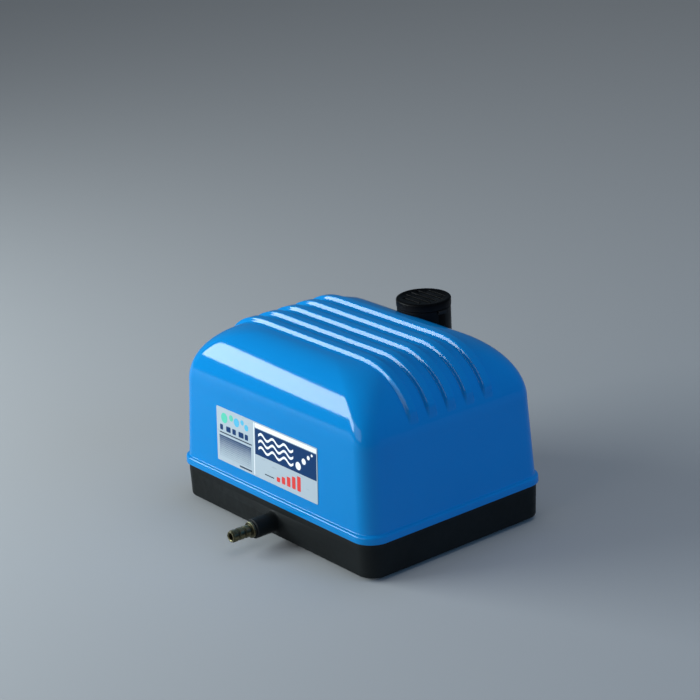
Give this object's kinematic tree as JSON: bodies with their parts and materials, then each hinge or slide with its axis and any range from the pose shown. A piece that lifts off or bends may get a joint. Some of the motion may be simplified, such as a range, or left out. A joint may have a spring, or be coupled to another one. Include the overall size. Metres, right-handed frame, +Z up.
{
  "type": "air pump",
  "caption": "Box-shaped pond air pump with a ribbed glossy cover, a dark base tray, a rear intake filter tower and a front hose barb that feeds air from two swinging-arm diaphragms.",
  "frame": {"origin": "middle of the whole pump in plan, on the surface that its feet stand on", "axes": "+Z up, the front with its label and hose barb faces -Y, +X to the right seen from the front"},
  "size_m": [0.2272, 0.2116, 0.1455],
  "materials": {
    "blue_shell": "glossy moulded plastic",
    "black_base": "fine-grained moulded plastic",
    "black_filter": "satin moulded plastic",
    "label_film": "satin printed film",
    "rubber": "moulded rubber",
    "hose_rubber": "milky flexible tube",
    "foam": "open-cell foam",
    "zinc_steel": "zinc-plated steel",
    "dull_brass": "tarnished brass",
    "lamination": "varnished laminated steel",
    "magnet_iron": "sintered magnet",
    "copper_wire": "enamelled copper wire",
    "bobbin_nylon": "natural nylon",
    "arm_alloy": "die-cast alloy",
    "head_plastic": "glass-filled plastic",
    "lead_wire": "insulated wire"
  },
  "bodies": {
    "housing": {"upper_cover": "blue_shell", "front_label": "label_film", "cover_gasket": "rubber", "base_tray": "black_base", "rubber_feet": "rubber", "cover_screws": "zinc_steel", "filter_tower": "black_filter", "filter_foam": "foam", "outlet_nozzle": "dull_brass", "outlet_seal": "rubber", "outlet_tube": "hose_rubber", "cable_gland": "black_base", "gland_nut": "black_base", "air_chamber": "head_plastic", "chamber_gasket": "rubber", "chamber_lid": "head_plastic", "isolators": "rubber", "chassis_plate": "zinc_steel", "core_stack": "lamination", "core_bracket": "zinc_steel", "core_bolts": "zinc_steel", "terminal_block": "bobbin_nylon", "internal_leads": "lead_wire", "sound_foam": "foam", "coil_bobbin_left": "bobbin_nylon", "coil_bobbin_right": "bobbin_nylon", "coil_winding_left": "copper_wire", "coil_winding_right": "copper_wire", "pivot_bracket_left": "zinc_steel", "pivot_bracket_right": "zinc_steel", "pivot_pin_left": "zinc_steel", "pivot_pin_right": "zinc_steel", "diaphragm_left": "rubber", "diaphragm_right": "rubber", "clamp_ring_left": "arm_alloy", "clamp_ring_right": "arm_alloy", "valve_box_left": "head_plastic", "valve_box_right": "head_plastic", "head_gasket_left": "rubber", "head_gasket_right": "rubber", "head_cover_left": "head_plastic", "head_cover_right": "head_plastic", "head_screws_left": "zinc_steel", "head_screws_right": "zinc_steel", "hose_left": "hose_rubber", "hose_right": "hose_rubber"},
    "arm_left": {"arm_left": "arm_alloy", "magnet_left": "magnet_iron", "diaphragm_plates_left": "zinc_steel", "plate_screw_left": "zinc_steel"},
    "intake_flap_left": {"intake_flap_left": "rubber"},
    "exhaust_flap_left": {"exhaust_flap_left": "rubber"},
    "arm_right": {"arm_right": "arm_alloy", "magnet_right": "magnet_iron", "diaphragm_plates_right": "zinc_steel", "plate_screw_right": "zinc_steel"},
    "intake_flap_right": {"intake_flap_right": "rubber"},
    "exhaust_flap_right": {"exhaust_flap_right": "rubber"},
    "filter_cap": {"filter_cap": "black_filter"}
  },
  "joints": [
    {"name": "arm_right_swing", "type": "hinge", "parent": "housing", "child": "arm_right", "pos_m": [0.0325, 0.01375, 0.0485], "axis": [0, 1, 0], "range_deg": [-2, 2], "stiffness_Nm_per_rad": 12, "deforming": ["diaphragm_right"]},
    {"name": "arm_left_swing", "type": "hinge", "parent": "housing", "child": "arm_left", "pos_m": [-0.0325, 0.01375, 0.0485], "axis": [0, 1, 0], "range_deg": [-2, 2], "stiffness_Nm_per_rad": 12, "deforming": ["diaphragm_left"]},
    {"name": "intake_flap_right_open", "type": "hinge", "parent": "housing", "child": "intake_flap_right", "pos_m": [0.0543, 0.00575, 0.0795], "axis": [0, 1, 0], "range_deg": [0, 12], "stiffness_Nm_per_rad": 0.0004},
    {"name": "exhaust_flap_right_open", "type": "hinge", "parent": "housing", "child": "exhaust_flap_right", "pos_m": [0.0617, 0.02175, 0.0795], "axis": [0, -1, 0], "range_deg": [0, 12], "stiffness_Nm_per_rad": 0.0004},
    {"name": "intake_flap_left_open", "type": "hinge", "parent": "housing", "child": "intake_flap_left", "pos_m": [-0.0543, 0.00575, 0.0795], "axis": [0, -1, 0], "range_deg": [0, 12], "stiffness_Nm_per_rad": 0.0004},
    {"name": "exhaust_flap_left_open", "type": "hinge", "parent": "housing", "child": "exhaust_flap_left", "pos_m": [-0.0617, 0.02175, 0.0795], "axis": [0, 1, 0], "range_deg": [0, 12], "stiffness_Nm_per_rad": 0.0004},
    {"name": "filter_cap_lift", "type": "slide", "parent": "housing", "child": "filter_cap", "axis": [0, 0, 1], "range_m": [0, 0.02]}
  ],
  "couplings": [
    {"joint": "arm_left_swing", "follows": "arm_right_swing", "ratio": -1}
  ]
}
